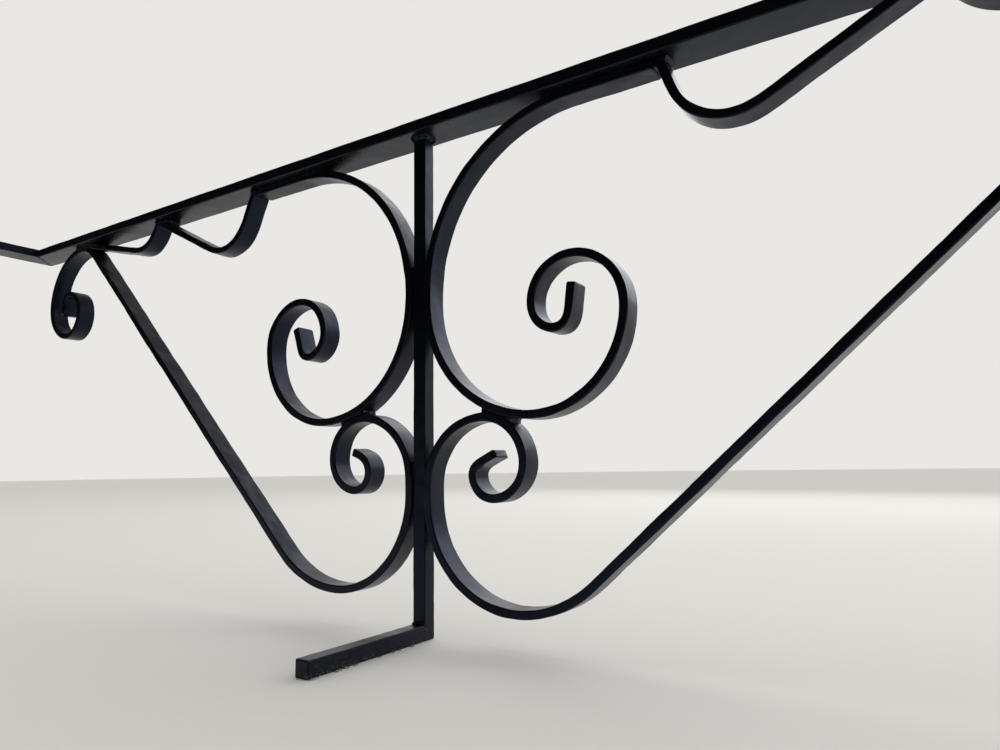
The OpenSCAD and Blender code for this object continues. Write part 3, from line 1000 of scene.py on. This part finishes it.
class GUARD_OT_welds(GuardOperator, Operator):
    """Welds: rippled metal, painted over, where bars meet"""
    bl_idname = "guard.welds"
    bl_label = "Welds"

    def build(self, g):
        self.g, self.seed = g, 200
        a, z = g.post.side / 2, g.rail.height
        w = g.welds.bead_r
        # Collar under the rail: rough metal in the corner along each side of the post
        sink, leg = 0.6 * MM, 3.7 * MM
        corner = wedge((-a + sink, z + sink), math.pi, -math.pi / 2, leg)
        put("weld_post_top", [
            self.fill(corner, hollow=0.3 * MM, half=a + 2 * MM, lumps=0.9 * MM).turned(k)
            for k in range(4)], iron(g))
        # Foot: a blob in the inner corner, thin beads along the mitre and under the heel
        side, proud, seam, heel = 2 * a, 0.3 * MM, 0.8 * MM, 1.1 * MM
        foot = [self.bead([[x, -a - proud, side + proud] for x in (-a, a)], 0.9 * w)]
        foot += [self.bead([[x, -a, side], [x, a - seam, seam]], 0.3 * w)
                 for x in (-a + 0.35 * MM, a - 0.35 * MM)]
        foot.append(self.bead([[x, a - seam, heel] for x in (-a + 1 * MM, a - 1 * MM)],
                              0.36 * w))
        put("weld_foot", foot, iron(g))
        for h in (LEFT, RIGHT):
            self.on_post(g, h)
            self.between_scrolls(g, h)
            self.under_rail(g, h)
            self.rail_corner(g, h)

    def bead(self, path, radius):
        """The next bead, with lumps of its own."""
        self.seed += 1
        return bead(path, radius, self.g.welds.ripple, self.g.welds.lumps, self.seed)

    def fill(self, faces, hollow, half, middle=0.0, lumps=None):
        """The next filled corner, with lumps of its own."""
        self.seed += 1
        return weld_fill(faces, hollow, half, middle, self.g.welds.ripple,
                         lumps or self.g.welds.lumps, self.seed)

    def put_fills(self, g, h, name, faces, **sizes):
        """Filled corners as one piece; they end a little short of the faces of the bars."""
        put(name + SIDES[h], [on_side(self.fill(f, **sizes), h) for f in faces], iron(g))

    def on_post(self, g, h):
        """Over and under the places where the scrolls lie on the post."""
        low, up, t = g.lower, g.upper, g.bar.thickness
        x, half = -g.post.side / 2 - g.bar.gap / 2, 0.97 * g.post.side / 2
        contacts = [
            (low.contact_z[h] + low.contact_l[h], 1, low.shoulder_r[h]),
            (low.contact_z[h], -1, low.belly_r[h]),
            (under_z(g) - up.shoulder_r, 1, up.shoulder_r),
            (up.contact_z[h], -1, belly_r(g, h)),
        ]
        faces = [parting((x, z), (0, way), (1, 0), r + t / 2, 0, gap=2.2 * MM)
                 for z, way, r in contacts]
        self.put_fills(g, h, "weld_post_", faces, hollow=0.5 * MM, half=half)

    def between_scrolls(self, g, h):
        """On both sides of the belly of the upper scroll, on the crown of the lower one."""
        up, t = g.upper, g.bar.thickness
        mid = crown_mid(g, h)
        belly = np.array([side_x(g) - belly_r(g, h), up.contact_z[h]])
        out = (belly - mid) / np.linalg.norm(belly - mid)
        tangent = np.array([-out[1], out[0]])
        crown = g.lower.crown_r[h] + t / 2
        touch = mid + out * (crown + g.bar.gap / 2)
        faces = [parting(touch, way * tangent, out, crown, belly_r(g, h) + t / 2, gap)
                 for way, gap in ((1, 3.4 * MM), (-1, 3.8 * MM))]
        self.put_fills(g, h, "weld_scrolls_", faces, hollow=0.6 * MM,
                       half=0.985 * g.bar.width / 2, middle=middle_y(g))

    def under_rail(self, g, h):
        """At both ends of the run, beside the hooks, where the waves meet, and at the arch."""
        bar, up, z = g.bar, g.upper, g.rail.height
        t, half, plan = bar.thickness, 0.975 * bar.width / 2, wave_plan(g, h)
        bend_x = side_x(g) - up.shoulder_r
        start = bend_x - up.run[h]
        steep, hook = g.waves.inner_turn[h], g.waves.outer_turn[h]
        tail = math.pi - plan["inner_heading"]
        meet, crest = plan["meet"][0], arch_top(g, h)[0]
        hook_x = start - g.waves.apart - t / math.sin(steep)
        tail_x, outer_x = meet + t / 2 / math.sin(tail), meet - t / 2 / math.sin(hook)
        left, right, upwards, down = (-1, 0), (1, 0), (0, 1), math.pi * 1.5
        # Where a bend leaves the rail, the metal ends as the gap has opened this far
        at_arch, at_run = 2.4 * MM, 2.2 * MM
        # In a corner it goes this far along both faces
        hook_leg, tail_leg, outer_leg = 3.2 * MM, 9 * MM, 3 * MM
        faces = [
            parting((crest, z), left, upwards, g.spiral.outer_r + t / 2, 0, at_arch),
            parting((crest, z), right, upwards, g.spiral.arch_r + t / 2, 0, at_arch),
            parting((bend_x, z), right, upwards, up.shoulder_r + t / 2, 0, at_run),
            wedge((start, z), down, math.pi + steep, t),
            wedge((hook_x, z), math.pi, math.pi + steep, hook_leg),
            wedge((tail_x, z), 0, -tail, tail_leg),
            wedge((outer_x, z), math.pi, math.pi + hook, outer_leg),
        ]
        self.put_fills(g, h, "weld_rail_", faces, hollow=0.4 * MM, half=half,
                       middle=middle_y(g))

    def rail_corner(self, g, h):
        """A ground bead inside the rail's corner and a thin one along the mitre below."""
        outer, half, w = g.rail.half_w[h], g.rail.width / 2, g.welds.bead_r
        inner_x = g.rail.width - outer
        low_z, high_z = g.rail.height, g.rail.height + g.rail.thickness
        short, back, proud = 0.6 * MM, 1.5 * MM, 0.3 * MM
        beads = [
            self.bead([[inner_x, -half, z] for z in (low_z + short, high_z - short)], 0.8 * w),
            self.bead([[back - outer, half - back, low_z + proud],
                       [inner_x, -half, low_z + proud]], 0.36 * w),
        ]
        put("weld_corner_" + SIDES[h], [on_side(b, h) for b in beads], iron(g))


class GUARD_OT_crumbs(GuardOperator, Operator):
    """Mortar: small crumbs on the sill against both sides of the foot"""
    bl_idname = "guard.crumbs"
    bl_label = "Mortar crumbs"

    def build(self, g):
        """A crumb is half an egg, r (cos u cos v, 1.4 cos u sin v, 0.6 sin u), with lumps."""
        draw = np.random.default_rng(7)
        a, count = g.post.side / 2, g.welds.crumbs
        side = draw.choice([-1.0, 1.0], count)
        # They lie between 3 mm from the end of the foot and 20 mm from the middle of the
        # post, most of them towards the end
        ends, spread = 3 * MM, g.post.foot - 23 * MM
        reach = g.post.foot - ends - spread * draw.uniform(0, 1, count) ** 2
        size = draw.uniform(0.6 * MM, 1.8 * MM, count)
        rows, around = 7, 14
        u = np.radians(np.linspace(88, 0, rows))[:, None]
        v = np.linspace(0, 2 * math.pi, around, endpoint=False)[None, :]
        shells = []
        for k in range(count):
            r = size[k]
            grid = r * np.stack([np.cos(u) * np.cos(v), 1.4 * np.cos(u) * np.sin(v),
                                 0.6 * np.sin(u) + 0 * v], axis=-1)[::-1]
            grid *= 1 + uneven(grid, 300 + k, 0.25, 2.2 * r)[..., None]
            grid[..., 2] = np.maximum(grid[..., 2], 0)
            grid[0, :, 2] = 0
            grid += [side[k] * (a + 0.5 * r), -reach[k], 0]
            shells.append(Shell(grid, u[:, 0] * r, np.linspace(0, 6 * r, around + 1),
                                np.zeros(grid.shape[:2])))
        put("mortar_crumbs", shells, finish(g, "lime mortar", lime_mortar))


# Stage

def aim(thing, place, back, roll=0.0):
    """Put a lamp or a camera at a place, looking against the direction back, and roll it."""
    back = back / np.linalg.norm(back)
    level = np.cross([0, 0, 1], back)
    level /= np.linalg.norm(level)
    upright = np.cross(back, level)
    turn = np.eye(4)
    turn[:3, 0] = math.cos(roll) * level + math.sin(roll) * upright
    turn[:3, 1] = math.cos(roll) * upright - math.sin(roll) * level
    turn[:3, 2], turn[:3, 3] = back, place
    thing.matrix_world = Matrix(turn.tolist())


class GUARD_OT_stage(GuardOperator, Operator):
    """Stage: a pale floor, soft light from the street side and a camera at the window"""
    bl_idname = "guard.stage"
    bl_label = "Floor, light and camera"

    def build(self, g):
        self.floor(g)
        self.sky(g)
        self.lamp(g.studio)
        self.camera(g.studio)
        bpy.context.scene.view_settings.view_transform = "Standard"

    def floor(self, g):
        """A disc: radius times (cos v, sin v) around one centre."""
        count = 96
        v = np.linspace(0, 2 * math.pi, count, endpoint=False)
        rim = np.stack([np.cos(v), np.sin(v), 0 * v], axis=-1) * g.studio.floor_r
        k = np.arange(count)
        faces = np.stack([k, (k + 1) % count, np.full(count, count)], axis=-1)
        mesh = bpy.data.meshes.new("floor")
        mesh.from_pydata([*rim.tolist(), (0, 0, 0)], [], faces.tolist())
        mesh.update()
        material, tree = new_material("pale studio floor")
        shader = add(tree, "BsdfPrincipled", {
            "Base Color": (*g.finish.floor, 1.0), "Roughness": 0.9, "Specular IOR Level": 0.2})
        add(tree, "OutputMaterial", {"Surface": shader})
        mesh.materials.append(material)
        floor = in_scene("floor", mesh)

    def sky(self, g):
        """The camera sees one pale colour all round, and gloss mirrors it from the street
        side, low down. The rest of the light is soft, full from overhead and from the street,
        and faint from the room."""
        world = bpy.data.worlds.new("studio")
        bpy.context.scene.world = world
        world.use_nodes = True
        tree = world.node_tree
        tree.nodes.clear()
        way = add(tree, "TexCoord").outputs["Generated"]
        way = add(tree, "SeparateXYZ", [way]).outputs
        rays = add(tree, "LightPath").outputs

        def facing(street, overhead):
            """How far a direction looks to the street and overhead; 0.5 is level and across."""
            level = add(tree, "Math", [way["Z"], overhead, 0.5], operation="MULTIPLY_ADD")
            return add(tree, "Math", [way["Y"], street, level], operation="MULTIPLY_ADD")

        soft = add(tree, "MapRange", [facing(0.45, 0.28), 0.38, 0.78, 0.03, 1.0])
        glossy = rays["Is Glossy Ray"]
        mirrored = add(tree, "MapRange", [facing(0.6, -0.2), 0.55, 0.8, 0.0, glossy])
        strength = add(tree, "Math", [glossy, -1.1, 1.25], operation="MULTIPLY_ADD")
        light = add(tree, "Background", {"Color": soft, "Strength": strength})
        seen = add(tree, "Background", {"Color": (*g.finish.backdrop, 1.0), "Strength": 1.0})
        shown = rays["Is Camera Ray"]
        for share in (rays["Is Transmission Ray"], mirrored):
            shown = add(tree, "Math", [shown, share], operation="ADD", use_clamp=True)
        both = add(tree, "MixShader", [shown, light, seen])
        add(tree, "OutputWorld", {"Surface": both})

    def lamp(self, studio):
        """One wide soft lamp over the street."""
        data = bpy.data.lights.new("soft light over the street", "AREA")
        data.shape = "RECTANGLE"
        data.size, data.size_y = studio.lamp_w, studio.lamp_h
        data.energy = studio.power
        data.color = studio.cool
        place = np.array(studio.lamp)
        aim(in_scene(data.name, data), place, place - np.array(studio.lit))

    def camera(self, studio):
        """A wide lens at the window, turned left and tilted up."""
        data = bpy.data.cameras.new("camera")
        data.sensor_fit = "HORIZONTAL"
        data.sensor_width = 36.0
        data.lens = studio.lens
        data.clip_start = 0.01
        data.clip_end = 50.0
        left, tilt, roll = studio.turn
        back = np.array([math.sin(left) * math.cos(tilt), -math.cos(left) * math.cos(tilt),
                         -math.sin(tilt)])
        camera = in_scene("camera", data)
        aim(camera, np.array(studio.eye), back, roll)
        bpy.context.scene.camera = camera


class GUARD_PT_guard(Panel):
    """Sizes, pieces and stage of the window guard"""
    bl_label = "Window guard"
    bl_idname = "GUARD_PT_guard"
    bl_space_type = "VIEW_3D"
    bl_region_type = "UI"
    bl_category = "Guard"

    def draw(self, context):
        layout = self.layout
        for operator in OPERATORS:
            layout.operator(operator.bl_idname)
        settings = context.scene.window_guard
        for group in settings.bl_rna.properties:
            if group.type == "POINTER" and group.identifier != "rna_type":
                box = layout.box()
                box.label(text=group.identifier.capitalize())
                values = getattr(settings, group.identifier)
                for item in values.bl_rna.properties:
                    if item.identifier not in ("rna_type", "name"):
                        box.prop(values, item.identifier)


GROUPS = (RailSizes, PostSizes, BarSizes, UpperScrollSizes, LowerScrollSizes, SpiralSizes,
          WaveSizes, WeldSizes, FinishColours, StudioSizes, GuardSettings)
OPERATORS = (GUARD_OT_rail, GUARD_OT_post, GUARD_OT_upper_scrolls, GUARD_OT_lower_scrolls,
             GUARD_OT_waves, GUARD_OT_welds, GUARD_OT_crumbs, GUARD_OT_stage)


def register():
    for cls in (*GROUPS, *OPERATORS, GUARD_PT_guard):
        bpy.utils.register_class(cls)
    bpy.types.Scene.window_guard = PointerProperty(type=GuardSettings)


def unregister():
    del bpy.types.Scene.window_guard
    for cls in reversed((*GROUPS, *OPERATORS, GUARD_PT_guard)):
        bpy.utils.unregister_class(cls)


def main():
    register()
    bpy.ops.guard.rail()
    bpy.ops.guard.post()
    bpy.ops.guard.upper_scrolls()
    bpy.ops.guard.lower_scrolls()
    bpy.ops.guard.waves()
    bpy.ops.guard.welds()
    bpy.ops.guard.crumbs()
    bpy.ops.guard.stage()


if __name__ == "__main__":
    main()
